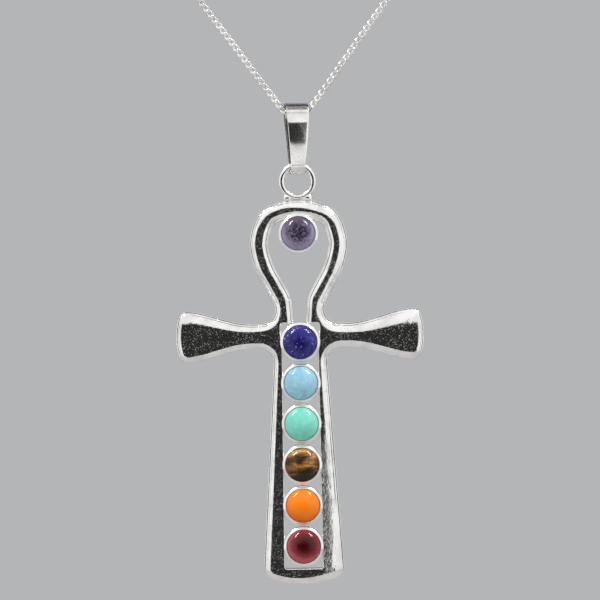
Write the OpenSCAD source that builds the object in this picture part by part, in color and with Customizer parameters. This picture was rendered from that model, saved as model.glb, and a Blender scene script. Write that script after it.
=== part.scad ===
// Ankh pendant on a fine chain, as worn. Millimetres, +Z up, the pendant's face looks along -Y.
// The origin is the middle of the neck, where the chain lies.

/* [Ankh] */
// Width across both arms
ankh_w = 45.2; // [40:0.2:60]
// Height of the loop's top above the middle of the arms
loop_h = 24.8; // [22:0.1:32]
// Width of the loop at its widest
loop_w = 17.8; // [16:0.1:24]
// Width of the band of metal that makes the loop
band_w = 3.45; // [2.8:0.05:4.2]
// Width of the gap between the band's two lower ends, at the slot
neck_gap = 2; // [1.2:0.1:2.6]
// Width of that gap where the loop's hole opens
neck_open = 2.9; // [2.6:0.1:4]
// Height of an arm where it leaves the middle
arm_root_h = 4.5; // [3.6:0.1:6]
// Height of an arm at its tip
arm_tip_h = 9.5; // [7:0.1:13]
// Distance from the middle to where an arm begins to widen
arm_flare_x = 8.5; // [8:0.1:11]
// Radius of the inner corners between loop, arms and leg
crotch_r = 2.5; // [1.5:0.1:3]
// Radius of the corners at the arms' tips
tip_corner_r = 1.6; // [1:0.1:2]
// Radius of the corners at the foot
foot_corner_r = 2.2; // [1.4:0.1:2.6]
// Metal on each side of the slot at the middle of the arms
flange_top = 1.4; // [1:0.05:2.5]
// Metal on each side of the slot at the foot
flange_foot = 4; // [2.5:0.1:6]
// Metal from the last bezel to the lower end of the leg
foot_h = 3.3; // [2.5:0.1:6]

/* [Casting] */
// Thickness of the casting at its crest
plate_t = 2.2; // [1.8:0.1:3]
// Height of the edge's widest line above the back
edge_h = 0.8; // [0.6:0.1:1.2]
// Width of the rounding along the front edges
round_w = 1.7; // [1.2:0.1:1.7]
// Bevel along the back edges
back_bevel = 0.25; // [0.1:0.05:0.4]

/* [Stones] */
// Diameter of a stone
stone_d = 6; // [4.5:0.1:7]
// Height of a stone's straight side
girdle_h = 1.45; // [1:0.05:2]
// Height of a stone's dome above its side
dome_h = 1.35; // [0.8:0.05:2]
// Wall of a bezel
bezel_wall = 0.55; // [0.4:0.05:0.9]
// Floor under a stone
bezel_floor = 0.9; // [0.6:0.1:1.5]
// Height that a bezel stands over the casting's crest
bezel_rise = 0.6; // [0.3:0.05:1.2]
// Distance between the bezels in the row
bezel_gap = 0.2; // [0.15:0.05:0.6]
// Distance of the first stone in the row below the middle of the arms
row_start = 1.2; // [0.6:0.1:2]
// Lap of the upper bezel on the loop's band
loop_lap = 0.8; // [0.5:0.05:1.2]
// Lap of a bezel on the slot's edge at the first stone
slot_lap = 0.4; // [0.3:0.05:0.5]
// Lap of a bezel on the slot's edge at the last stone
slot_lap_foot = 0.2; // [0.15:0.05:0.4]

/* [Ring and bail] */
// Outer diameter of the ring on the loop
ring_d = 7.1; // [6.4:0.1:9]
// Wire of the ring
ring_wire = 1.3; // [1:0.05:1.4]
// Depth that the ring sinks into the loop's top
ring_sink = 0.35; // [0.2:0.05:0.6]
// Height of the ring's wire over the casting's back, where the pendant balances
hang_depth = 1.25; // [1.1:0.05:1.5]
// Height of the bail from the chain to the ring's wire
bail_l = 9.25; // [8:0.25:14]
// Width of the bail at the chain
bail_top_w = 4.2; // [3.6:0.1:6]
// Width of the bail in the ring
bail_low_w = 2.7; // [2:0.1:2.8]
// Thickness of the bail's strap
strap_t = 0.45; // [0.35:0.05:0.7]
// Turn of the bail about the upright, as it hangs on the chain
bail_turn = 9; // [0:1:12]

/* [Neck] */
// Width of the chain's loop round the neck
neck_w = 122; // [110:1:140]
// Depth of that loop, from where the bail hangs back to the nape
neck_d = 114; // [100:1:130]
// Distance in front of the neck's middle at which the bail hangs
front_d = 62; // [50:1:75]
// Height from where the bail hangs up to the neck's middle
drop_h = 88; // [75:1:110]
// Height of the nape over the neck's middle
nape_h = 10; // [4:1:16]

/* [Chain] */
// Width of the chain
chain_w = 1.3; // [1:0.05:1.5]
// Lean of each strand away from the upright
strand_lean = 36; // [32:1:40]
// Length of the straight strand over the bail
strand_l = 25; // [20:1:30]
// Diameter of the clasp's barrel
clasp_d = 3.2; // [2.6:0.1:4.5]
// Length of the clasp's barrel
clasp_l = 7; // [5:0.5:10]
// Wire of the clasp's two eyes
eye_wire = 0.8; // [0.6:0.05:1]

/* [Fits] */
// Space around a stone in its bezel
stone_gap = 0.06; // [0.04:0.01:0.1]
// Space between a bail's fold and what it turns on
turn_gap = 0.1; // [0.08:0.01:0.2]
// Space between the chain's end and the clasp
end_gap = 0.2; // [0.1:0.05:0.4]

/* [Hidden] */

// The chain's lowest point, where the bail hangs, and the middle of the clasp
HANG = [0, -front_d, -drop_h];
NAPE = [0, neck_d - front_d, nape_h];

// The chain's route from the strand's end round the right side to the nape: share of the half
// width, share of the depth behind the bail, share of the height over the bail
ROUTE_SHAPE = [
    [0.607, 0.035, 0.490],
    [0.852, 0.140, 0.704],
    [0.984, 0.325, 0.857],
    [1.000, 0.553, 0.939],
    [0.803, 0.807, 0.980],
    [0.426, 0.956, 1.000]
];
ROUTE = [for (row = ROUTE_SHAPE)
    HANG + [row[0] * neck_w / 2, row[1] * neck_d, row[2] * (drop_h + nape_h)]];

// The loop's outline: share of its height, share of its half width
LOOP_SHAPE = [
    [1.000, 0.000],
    [0.980, 0.393],
    [0.927, 0.713],
    [0.831, 0.905],
    [0.692, 1.000],
    [0.577, 0.966],
    [0.462, 0.864],
    [0.367, 0.733],
    [0.000, 0.165]
];

METAL = "silver";
CURVE_STEPS = 3;
CORNER_STEPS = 5;
ARM_STEPS = 8;
TIP_STEPS = 3;
FOOT_STEPS = 4;
ROUND_STEPS = 4;
LAYER_STEP = 0.1;
CUT = 1;
$fn = 48;

// Bezels and the slot under them
bezel_r = stone_d / 2 + stone_gap + bezel_wall;
pocket_r = stone_d / 2 + stone_gap;
pitch = 2 * bezel_r + bezel_gap;
row_n = 6;
row_end = row_start + pitch * (row_n - 1);
loop_stone_z = loop_h - band_w - bezel_r + loop_lap;
slot_top_lap = 0.2;
slot_ear_lap = 0.1;
slot_past_row = 0.4;
slot_top = bezel_r - row_start - slot_top_lap;
slot_ear_h = bezel_r / 2;
slot_ear_w = bezel_r - slot_ear_lap;
slot_half = bezel_r - slot_lap;
slot_half_foot = bezel_r - slot_lap_foot;
slot_low = row_end + bezel_r + slot_past_row;

// Leg, arms and loop: the arms' tips and the foot are shallow arcs, as shares of their chords
foot_share = 2.3;
tip_share = 1.25;
leg_l = row_end + bezel_r + foot_h;
leg_half = slot_half + flange_top;
leg_half_foot = slot_half_foot + flange_foot;
foot_r = foot_share * leg_half_foot;
foot_corner = [leg_half_foot, sagitta(foot_r, leg_half_foot) - leg_l];
arm_end_r = tip_share * arm_tip_h;
tip_corner = [ankh_w / 2 - sagitta(arm_end_r, arm_tip_h / 2), arm_tip_h / 2];
hole_blend_r = 6;

// Heights of bezel and stone over the casting's back
bezel_front = plate_t + bezel_rise;
bezel_back = bezel_front - girdle_h - stone_gap - bezel_floor;
dome_r = (pow(stone_d / 2, 2) + pow(dome_h, 2)) / (2 * dome_h);

// Ring, bail and the chain's bend in it, as a share of the strap's width
bend_share = 0.85;
ring_r = (ring_d - ring_wire) / 2;
ring_z = loop_h + ring_d / 2 - ring_sink;
ring_pivot_z = ring_z + ring_r;
chain_pivot_z = ring_pivot_z + bail_l;
bend_r = bend_share * bail_top_w;
fold_top_r = fold_radius(bend_r, chain_w / 2, bail_top_w / 2);
fold_low_r = fold_radius(ring_r, ring_wire / 2, bail_low_w / 2);

// The clasp's eyes: the wire's middle, and how far an eye sinks into the barrel's end
eye_r = 1.3;
eye_sink = eye_wire / 4;
eye_x = clasp_l / 2 + eye_r - eye_sink;

// Radius that clears a bent wire over the width of the strap that is folded round it
function fold_radius(bend, wire_r, half_w) =
    let (rise = bend - sqrt(pow(bend - wire_r, 2) - pow(half_w, 2)))
    norm([rise, half_w * sin(bail_turn)]) + turn_gap;

function mix(a, b, t) = a + (b - a) * t;
function unit(v) = v / norm(v);

// A smooth curve through points: the first and last of them only steer its ends
function curve_point(p, i, t) =
    0.5 * (2 * p[i] + (p[i + 1] - p[i - 1]) * t
        + (2 * p[i - 1] - 5 * p[i] + 4 * p[i + 1] - p[i + 2]) * t * t
        + (3 * p[i] - p[i - 1] - 3 * p[i + 1] + p[i + 2]) * t * t * t);
function smooth(p, steps) = concat(
    [for (i = [1 : len(p) - 3], k = [0 : steps - 1]) curve_point(p, i, k / steps)],
    [p[len(p) - 2]]);

// Rise of an arc over half its chord, and n points along it from the chord's end to its middle
function sagitta(r, half_chord) = r - sqrt(r * r - half_chord * half_chord);
function arc_fall(r, half_chord, n) =
    [for (k = [1 : n])
        let (a = asin(half_chord / r) * (1 - k / n))
        [r * sin(a), r * cos(a) - r]];

// A corner of radius r at p, between the points before and after it
function corner(before, p, after, r) =
    let (a = unit(before - p),
        b = unit(after - p),
        half = acos(a * b) / 2,
        turn = 180 - 2 * half,
        middle = p + unit(a + b) * r / sin(half),
        from = p + a * r / tan(half) - middle,
        to = p + b * r / tan(half) - middle)
    [for (k = [0 : CORNER_STEPS])
        let (t = k / CORNER_STEPS)
        middle + (from * sin((1 - t) * turn) + to * sin(t * turn)) / sin(turn)];

// Where the line through p and q reaches x, and where it reaches height z
function at_x(p, q, x) = p + (q - p) * (x - p[0]) / (q[0] - p[0]);
function at_z(p, q, z) = p + (q - p) * (z - p[1]) / (q[1] - p[1]);

// The loop's curve from its top down to its straight side, and the side's lower end
loop_rows = [for (row = LOOP_SHAPE) [row[1] * loop_w / 2, row[0] * loop_h]];
loop_last = len(loop_rows) - 2;
loop_low = loop_rows[loop_last + 1];
loop_curve = smooth(concat([[-loop_rows[1][0], loop_rows[1][1]]], loop_rows), CURVE_STEPS);
loop_side = loop_curve[len(loop_curve) - 1];

// Half height of an arm at x, widening along half a cosine wave
function arm_half_h(x) =
    let (t = max(0, x - arm_flare_x) / (tip_corner[0] - arm_flare_x))
    mix(arm_root_h, arm_tip_h, (1 - cos(180 * t)) / 2) / 2;

// Upper half of an arm's outline, from the crotch at the loop to the middle of the tip
function arm_half() =
    let (edge = [for (k = [0 : ARM_STEPS - 1])
            let (x = mix(arm_flare_x, tip_corner[0], k / ARM_STEPS))
            [x, arm_half_h(x)]],
        fall = arc_fall(arm_end_r, arm_tip_h / 2, TIP_STEPS),
        tip = [for (p = fall) [p[1] + ankh_w / 2, p[0]]])
    concat(edge, corner(edge[ARM_STEPS - 1], tip_corner, tip[0], tip_corner_r), tip);

// Right half of the ankh's outline, from the loop's top round the arm to the middle of the foot
function ankh_half() =
    let (upper = arm_half(),
        lower = [for (i = [len(upper) - 2 : -1 : 0]) [upper[i][0], -upper[i][1]]],
        root_end = [arm_flare_x, arm_root_h / 2],
        armpit = at_z(loop_side, loop_low, arm_root_h / 2),
        crotch = at_z([leg_half, 0], foot_corner, -arm_root_h / 2),
        foot = [for (p = arc_fall(foot_r, leg_half_foot, FOOT_STEPS)) [p[0], -p[1] - leg_l]])
    concat(
        loop_curve,
        corner(loop_side, armpit, root_end, crotch_r),
        upper, lower,
        corner([root_end[0], -root_end[1]], crotch, foot_corner, crotch_r),
        corner(crotch, foot_corner, foot[0], foot_corner_r),
        foot);

// Right half of the loop's hole: the band's width inside the loop, then the neck down to the slot
function hole_half() =
    let (n = len(loop_curve),
        inside = [for (i = [0 : n - 1])
            let (next = i == n - 1 ? loop_low : loop_curve[i + 1],
                last = i == 0 ? [-next[0], next[1]] : loop_curve[i - 1],
                along = unit(next - last))
            loop_curve[i] + band_w * [along[1], -along[0]]],
        run = loop_low - loop_side,
        throat = at_x(inside[n - 1], inside[n - 1] + run, neck_open / 2),
        low = [neck_gap / 2, slot_top - CUT])
    concat(inside, corner(inside[n - 1], throat, low, hole_blend_r), [low]);

module mirrored_polygon(half) {
    other = [for (i = [len(half) - 1 : -1 : 0]) if (half[i][0] > 0) [-half[i][0], half[i][1]]];
    polygon(concat(half, other));
}

module slot_outline() {
    mirrored_polygon([
        [slot_ear_w, slot_top], [slot_ear_w, slot_top - slot_ear_h],
        [slot_half, -row_start - bezel_r / 2], [slot_half_foot, -slot_low]
    ]);
}

// Everything on the ankh is drawn with its back at y = 0 and the middle of the arms at z = 0
module upright(from_h, to_h) {
    translate([0, -from_h, 0]) rotate([90, 0, 0]) linear_extrude(height = to_h - from_h) children();
}

module disc(z, r, from_h, to_h) {
    translate([0, -from_h, z]) rotate([90, 0, 0]) cylinder(r = r, h = to_h - from_h);
}

// The casting's front rounding, in steps that follow a quarter of an ellipse
module casting() {
    crest = plate_t - edge_h;
    upright(0, edge_h) offset(delta = -back_bevel) casting_face();
    for (k = [0 : ROUND_STEPS - 1]) {
        inset = round_w * (1 - cos(90 * k / ROUND_STEPS));
        front = edge_h + crest * sin(90 * (k + 1) / ROUND_STEPS);
        upright(back_bevel + k * LAYER_STEP, front) offset(delta = -inset) casting_face();
    }
}

module casting_face() {
    difference() {
        mirrored_polygon(ankh_half());
        mirrored_polygon(hole_half());
    }
}

// The ring stands on the loop's top, in the casting's plane, on two pads of metal
module hanging_ring() {
    pad_r = 0.6 * ring_wire;
    pad_x = 0.65 * ring_r;
    pad_rise = 0.1;
    translate([0, -hang_depth, ring_z])
        rotate([90, 0, 0]) rotate_extrude() translate([ring_r, 0]) circle(d = ring_wire);
    for (side = [-1, 1]) {
        translate([side * pad_x, -hang_depth + ring_wire / 2, loop_h + pad_rise])
            rotate([90, 0, 0]) cylinder(r = pad_r, h = ring_wire);
    }
}

function stone_z(i) = i == 0 ? loop_stone_z : -row_start - pitch * (i - 1);

module ankh_frame() {
    color(METAL) place_ankh() difference() {
        union() {
            difference() {
                casting();
                upright(-CUT, plate_t + CUT) slot_outline();
            }
            for (i = [0 : row_n]) {
                disc(stone_z(i), bezel_r, bezel_back, bezel_front);
            }
            hanging_ring();
        }
        for (i = [0 : row_n]) {
            disc(stone_z(i), pocket_r, bezel_back + bezel_floor, bezel_front + CUT);
        }
    }
}

// Stone i, from 0 in the loop to 6 at the foot: a round side with a domed top
module stone(i, tint) {
    seat = bezel_back + bezel_floor + stone_gap;
    color(tint) place_ankh() intersection() {
        disc(stone_z(i), stone_d / 2, seat, seat + girdle_h + dome_h + CUT);
        translate([0, -(seat + girdle_h + dome_h - dome_r), stone_z(i)]) sphere(r = dome_r);
    }
}

module place_ankh() {
    translate([HANG[0], HANG[1] + hang_depth, HANG[2] - chain_pivot_z]) children();
}

// A bar along X with the bail's side view: round over the chain and in the ring, flat between.
// The flats lie a hair inside the rounds' tangents and so cross them.
module strap_bar(top_r, low_r, width) {
    hair = 0.02;
    lean = asin((top_r - low_r) / bail_l);
    side = [cos(lean), -sin(lean)];
    translate([-width / 2, 0, 0]) rotate([90, 0, 90]) {
        translate([0, bail_l]) cylinder(r = top_r, h = width);
        cylinder(r = low_r, h = width);
        linear_extrude(height = width)
            mirrored_polygon([[0, bail_l] + (top_r - hair) * side, (low_r - hair) * side]);
    }
}

module bail() {
    depth = 2 * (fold_top_r + strap_t + CUT);
    color(METAL) translate(HANG - [0, 0, bail_l]) rotate([0, 0, bail_turn]) intersection() {
        difference() {
            strap_bar(fold_top_r + strap_t, fold_low_r + strap_t, bail_top_w + CUT);
            strap_bar(fold_top_r, fold_low_r, bail_top_w + 2 * CUT);
        }
        translate([0, depth / 2, 0]) rotate([90, 0, 0]) linear_extrude(height = depth)
            mirrored_polygon([
                [bail_top_w / 2, bail_l + depth], [bail_top_w / 2, bail_l],
                [bail_low_w / 2, 0], [bail_low_w / 2, -depth]
            ]);
    }
}

// Half of the chain's middle line: the bend in the bail, the strand, then the route to the clasp
function chain_half() =
    let (turn = 90 - strand_lean,
        bend_steps = 6,
        bend = [for (k = [0 : bend_steps])
            let (a = turn * k / bend_steps)
            HANG + bend_r * [sin(a), 0, 1 - cos(a)]],
        dir = [sin(strand_lean), 0, cos(strand_lean)],
        strand_end = bend[bend_steps] + strand_l * dir,
        nape_end = NAPE + [eye_x + eye_r + eye_wire / 2 + end_gap, 0, 0],
        steer = [strand_end - 0.8 * strand_l * dir, strand_end],
        after = 2 * NAPE - nape_end,
        run = smooth(concat(steer, ROUTE, [nape_end, after]), CURVE_STEPS))
    concat(bend, run);

// Both halves in one list, from the left end at the nape round the front to the right end
function chain_line() =
    let (half = chain_half())
    concat(
        [for (i = [len(half) - 1 : -1 : 1]) [-half[i][0], half[i][1], half[i][2]]],
        half);

// Points of one cross-section: its first direction looks away from the neck's upright axis
function section(line, i, sides) =
    let (last = len(line) - 1,
        along = unit(line[min(i + 1, last)] - line[max(i - 1, 0)]),
        out = unit([line[i][0], line[i][1], 0]),
        side = unit(cross(along, out)),
        up = cross(side, along))
    [for (k = [0 : sides - 1])
        let (a = 360 * (k + 0.5) / sides)
        line[i] + chain_w / 2 * (cos(a) * up + sin(a) * side)];

module chain() {
    sides = 8;
    line = chain_line();
    rings = len(line);
    color(METAL) polyhedron(
        points = [for (i = [0 : rings - 1]) each section(line, i, sides)],
        faces = concat(
            [[for (k = [0 : sides - 1]) k]],
            [[for (k = [sides - 1 : -1 : 0]) (rings - 1) * sides + k]],
            [for (i = [0 : rings - 2], k = [0 : sides - 1])
                let (next = (k + 1) % sides)
                [i * sides + k, (i + 1) * sides + k, (i + 1) * sides + next, i * sides + next]]
        ));
}

module clasp() {
    color(METAL) translate(NAPE) {
        rotate([0, 90, 0]) cylinder(d = clasp_d, h = clasp_l, center = true);
        for (side = [-1, 1]) {
            translate([side * eye_x, 0, 0])
                rotate_extrude() translate([eye_r, 0]) circle(d = eye_wire);
        }
    }
}

ankh_frame();
stone(0, "#6e5f82");  // stone_violet
stone(1, "#2d2382");  // stone_deep_blue
stone(2, "#96c8dc");  // stone_sky_blue
stone(3, "#7dd7be");  // stone_green
stone(4, "#784b1e");  // stone_tiger_eye
stone(5, "#fa9123");  // stone_orange
stone(6, "#6e0a19");  // stone_dark_red
bail();
chain();
clasp();
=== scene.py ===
"""Looks of the ankh pendant on its chain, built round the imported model. Metres; the face looks along -Y.

Shapes are worked out in millimetres as grids of points and put into meshes in metres by surface().
On the ankh a point is (x, height over the casting's back, z over the middle of the arms).
"""
import math

import bmesh
import bpy
import numpy as np
from mathutils import Euler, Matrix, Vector


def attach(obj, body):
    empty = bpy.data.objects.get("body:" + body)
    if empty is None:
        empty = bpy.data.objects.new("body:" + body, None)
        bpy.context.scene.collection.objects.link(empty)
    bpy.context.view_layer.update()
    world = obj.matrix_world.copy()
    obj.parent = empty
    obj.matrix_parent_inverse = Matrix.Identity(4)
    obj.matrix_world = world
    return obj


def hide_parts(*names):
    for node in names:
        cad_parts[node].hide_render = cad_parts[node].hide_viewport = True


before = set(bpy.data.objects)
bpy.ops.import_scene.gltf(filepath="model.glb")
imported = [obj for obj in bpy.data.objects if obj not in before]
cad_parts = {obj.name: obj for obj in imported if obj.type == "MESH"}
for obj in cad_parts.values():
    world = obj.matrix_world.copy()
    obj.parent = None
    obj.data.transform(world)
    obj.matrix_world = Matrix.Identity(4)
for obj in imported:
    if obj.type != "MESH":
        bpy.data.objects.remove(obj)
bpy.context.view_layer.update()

MM = 0.001

# Ankh: the same sizes as the part's source
ANKH_W, LOOP_H, LOOP_W, BAND_W = 45.2, 24.8, 17.8, 3.45
NECK_GAP, NECK_OPEN, NECK_BLEND_R = 2.0, 2.9, 6.0
ARM_ROOT_H, ARM_TIP_H, ARM_FLARE_X = 4.5, 9.5, 8.5
CROTCH_R, TIP_CORNER_R, FOOT_CORNER_R, SLOT_CORNER_R = 2.5, 1.6, 2.2, 0.3
FLANGE_TOP, FLANGE_FOOT, FOOT_H = 1.4, 4.0, 3.3
PLATE_T, EDGE_H, BACK_BEVEL = 2.2, 0.8, 0.25
LOOP_SHAPE = np.array([
    (1.000, 0.000), (0.980, 0.393), (0.927, 0.713), (0.831, 0.905), (0.692, 1.000),
    (0.577, 0.966), (0.462, 0.864), (0.367, 0.733), (0.000, 0.165)])

# Stones and bezels
STONE_R, GIRDLE_H, DOME_H, STONE_GAP = 3.0, 1.45, 1.35, 0.06
BEZEL_WALL, BEZEL_FLOOR, BEZEL_RISE, BEZEL_GAP = 0.55, 0.9, 0.6, 0.2
ROW_START, LOOP_LAP, SLOT_LAP, SLOT_LAP_FOOT = 1.2, 0.8, 0.4, 0.2
SLOT_TOP_LAP, SLOT_EAR_LAP, SLOT_PAST_ROW = 0.2, 0.1, 0.4
POCKET_R = STONE_R + STONE_GAP
BEZEL_R = POCKET_R + BEZEL_WALL
BEZEL_FRONT = PLATE_T + BEZEL_RISE
POCKET_FLOOR = BEZEL_FRONT - GIRDLE_H - STONE_GAP
BEZEL_BACK = POCKET_FLOOR - BEZEL_FLOOR
PITCH = 2 * BEZEL_R + BEZEL_GAP
STONE_Z = [LOOP_H - BAND_W - BEZEL_R + LOOP_LAP] + [-ROW_START - PITCH * k for k in range(6)]
SLOT_TOP = BEZEL_R - ROW_START - SLOT_TOP_LAP
SLOT_EAR_W, SLOT_EAR_H = BEZEL_R - SLOT_EAR_LAP, BEZEL_R / 2
SLOT_HALF, SLOT_HALF_FOOT = BEZEL_R - SLOT_LAP, BEZEL_R - SLOT_LAP_FOOT
SLOT_LOW = BEZEL_R + SLOT_PAST_ROW - STONE_Z[-1]
LEG_L = BEZEL_R + FOOT_H - STONE_Z[-1]
LEG_HALF, LEG_HALF_FOOT = SLOT_HALF + FLANGE_TOP, SLOT_HALF_FOOT + FLANGE_FOOT

# Ring, bail, chain and clasp. The two fold radii are those inside the bail
RING_D, RING_WIRE_R, RING_SINK, HANG_DEPTH = 7.1, 0.65, 0.35, 1.25
RING_R, RING_Z = RING_D / 2 - RING_WIRE_R, LOOP_H - RING_SINK + RING_D / 2
BAIL_L, BAIL_TOP_W, BAIL_LOW_W, STRAP_T, BAIL_TURN = 9.25, 4.2, 2.7, 0.45, math.radians(9)
FOLD_TOP_R, FOLD_LOW_R = 1.676, 1.220
NECK_W, NECK_D, FRONT_D, DROP_H, NAPE_H = 122.0, 114.0, 62.0, 88.0, 10.0
HANG, NAPE = np.array([0, -FRONT_D, -DROP_H]), np.array([0, NECK_D - FRONT_D, NAPE_H])
CHAIN_BEND_R, STRAND_LEAN, STRAND_L, CHAIN_W = 3.57, math.radians(36), 25.0, 1.3
NECK_SIZE = np.array([NECK_W / 2, NECK_D, DROP_H + NAPE_H])
ROUTE_SHAPE = np.array([
    (0.607, 0.035, 0.490), (0.852, 0.140, 0.704), (0.984, 0.325, 0.857),
    (1.000, 0.553, 0.939), (0.803, 0.807, 0.980), (0.426, 0.956, 1.000)])
CLASP_L, CLASP_R, EYE_OUTER_R, EYE_X, END_GAP = 7.0, 1.6, 1.7, 4.6, 0.2
PIVOT_Z = RING_Z + RING_R + BAIL_L

# An outline's own points stop this far before a fillet's end
FILLET_CLEAR = 0.05


# Points and paths

def unit(v):
    """Each vector over its own length."""
    return v / np.maximum(np.linalg.norm(v, axis=-1, keepdims=True), 1e-9)


def circle(n):
    """n angles at even steps round a circle."""
    return 2 * math.pi * np.arange(n) / n


def smooth(points, steps):
    """A cubic through points 1 to n-2, whose slope at a point is half the step between its neighbours."""
    a, b, c, d = points[:-3, None], points[1:-2, None], points[2:-1, None], points[3:, None]
    t = (np.arange(steps) / steps)[None, :, None]
    run = 0.5 * (2 * b + (c - a) * t + (2 * a - 5 * b + 4 * c - d) * t**2 + (3 * b - a - 3 * c + d) * t**3)
    return np.vstack([run.reshape(-1, points.shape[1]), points[-2]])


def fillet(before, p, after, r, steps=16):
    """An arc of radius r that touches both lines through p: its ends are swept about its middle."""
    before, p, after = (np.array(v, float) for v in (before, p, after))
    a, b = unit(before - p), unit(after - p)
    half = math.acos(a @ b) / 2
    turn = math.pi - 2 * half
    middle = p + unit(a + b) * r / math.sin(half)
    start, end = p + a * r / math.tan(half) - middle, p + b * r / math.tan(half) - middle
    t = np.linspace(0, 1, steps + 1)[:, None]
    return middle + (start * np.sin((1 - t) * turn) + end * np.sin(t * turn)) / math.sin(turn)


def arc_fall(r, half_chord, steps):
    """Points of a shallow arc from its chord's end to its middle, as (across, rise below the middle)."""
    a = math.asin(half_chord / r) * (1 - np.arange(steps + 1) / steps)
    return np.stack([r * np.sin(a), r * np.cos(a) - r], -1)


def sagitta(r, half_chord):
    """Rise of an arc over half its chord."""
    return r - math.sqrt(r * r - half_chord**2)


def at_z(p, q, z):
    """Where the line through p and q reaches height z."""
    p, q = np.array(p, float), np.array(q, float)
    return p + (q - p) * (z - p[1]) / (q[1] - p[1])


def resample(points, n):
    """n points at even steps along a polyline, its own end left out."""
    points = np.asarray(points, float)
    s = np.concatenate([[0], np.cumsum(np.linalg.norm(np.diff(points, axis=0), axis=1))])
    at = s[-1] * np.arange(n) / n
    return np.stack([np.interp(at, s, points[:, k]) for k in range(points.shape[1])], -1)


# Meshes

def grid_faces(nu, nv, closed_u, closed_v, start):
    """Four corners of each cell of a grid of nu by nv points, numbered from start."""
    u, v = np.meshgrid(np.arange(nu if closed_u else nu - 1), np.arange(nv if closed_v else nv - 1),
                       indexing="ij")
    un, vn = (u + 1) % nu, (v + 1) % nv
    return np.stack([u * nv + v, un * nv + v, un * nv + vn, u * nv + vn], -1).reshape(-1, 4) + start


def surface(name, grids, body, slot, material, replaced=()):
    """One piece from grids of points in millimetres: each is (points[u, v, 3], closed in u, closed in v)
    and, where some cells are left open, which of them are kept.

    Points that fall together, as at a pole or a seam, are merged, and the faces are turned outwards."""
    points, faces, start = [], [], 0
    for grid, closed_u, closed_v, *kept in grids:
        nu, nv = grid.shape[:2]
        points.append(grid.reshape(-1, 3) * MM)
        cells = grid_faces(nu, nv, closed_u, closed_v, start)
        faces.append(cells[kept[0].reshape(-1)] if kept else cells)
        start += nu * nv
    mesh = bpy.data.meshes.new(name)
    mesh.from_pydata(np.vstack(points).tolist(), [], np.vstack(faces).tolist())
    same_place, no_length = 2e-7, 1e-8
    work = bmesh.new()
    work.from_mesh(mesh)
    bmesh.ops.remove_doubles(work, verts=work.verts, dist=same_place)
    bmesh.ops.dissolve_degenerate(work, edges=work.edges, dist=no_length)
    bmesh.ops.recalc_face_normals(work, faces=work.faces)
    work.to_mesh(mesh)
    work.free()
    mesh.shade_smooth()
    piece = bpy.data.objects.new(name, mesh)
    bpy.context.scene.collection.objects.link(piece)
    mesh.materials.append(material)
    if body is None:
        return piece
    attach(piece, body)
    if replaced:
        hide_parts(*replaced)
    return piece


def on_ankh(points):
    """From (x, height over the back, z over the arms' middle) to the frame's millimetres."""
    x, height, z = np.moveaxis(points, -1, 0)
    return np.stack([x + HANG[0], HANG[1] + HANG_DEPTH - height, z + HANG[2] - PIVOT_Z], -1)


def lathe(profile, z, turns=72):
    """A profile of (radius, height) turned about the axis along Y at height z on the ankh."""
    profile = np.array(profile, float)
    a = circle(turns)[:, None]
    r, height = profile[:, 0][None], profile[:, 1][None]
    grid = np.stack([r * np.sin(a), height + 0 * a, z + r * np.cos(a)], -1)
    return on_ankh(grid), True, False


def tube(path, radius, along, across, sides=12):
    """A round tube about a closed path: each point of a section is the path's point plus the radius
    times cos along one normal and sin along the other."""
    a = circle(sides)[None, :, None]
    return path[:, None] + radius * (np.cos(a) * along[:, None] + np.sin(a) * across[:, None])


# Materials

class Wire:
    """A socket in a material. Arithmetic on it adds Math nodes, so 1 - mask is written as it is read."""

    def __init__(self, paint, socket):
        self.paint, self.socket = paint, socket

    def math(self, operation, first, second=0.0):
        return self.paint.node("Math", {"operation": operation}, {0: first, 1: second})

    def __add__(self, other):
        return self.math("ADD", self, other)

    def __sub__(self, other):
        return self.math("SUBTRACT", self, other)

    def __rsub__(self, other):
        return self.math("SUBTRACT", other, self)

    def __mul__(self, other):
        return self.math("MULTIPLY", self, other)

    def __pow__(self, other):
        return self.math("POWER", self, other)

    __radd__, __rmul__ = __add__, __mul__


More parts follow.
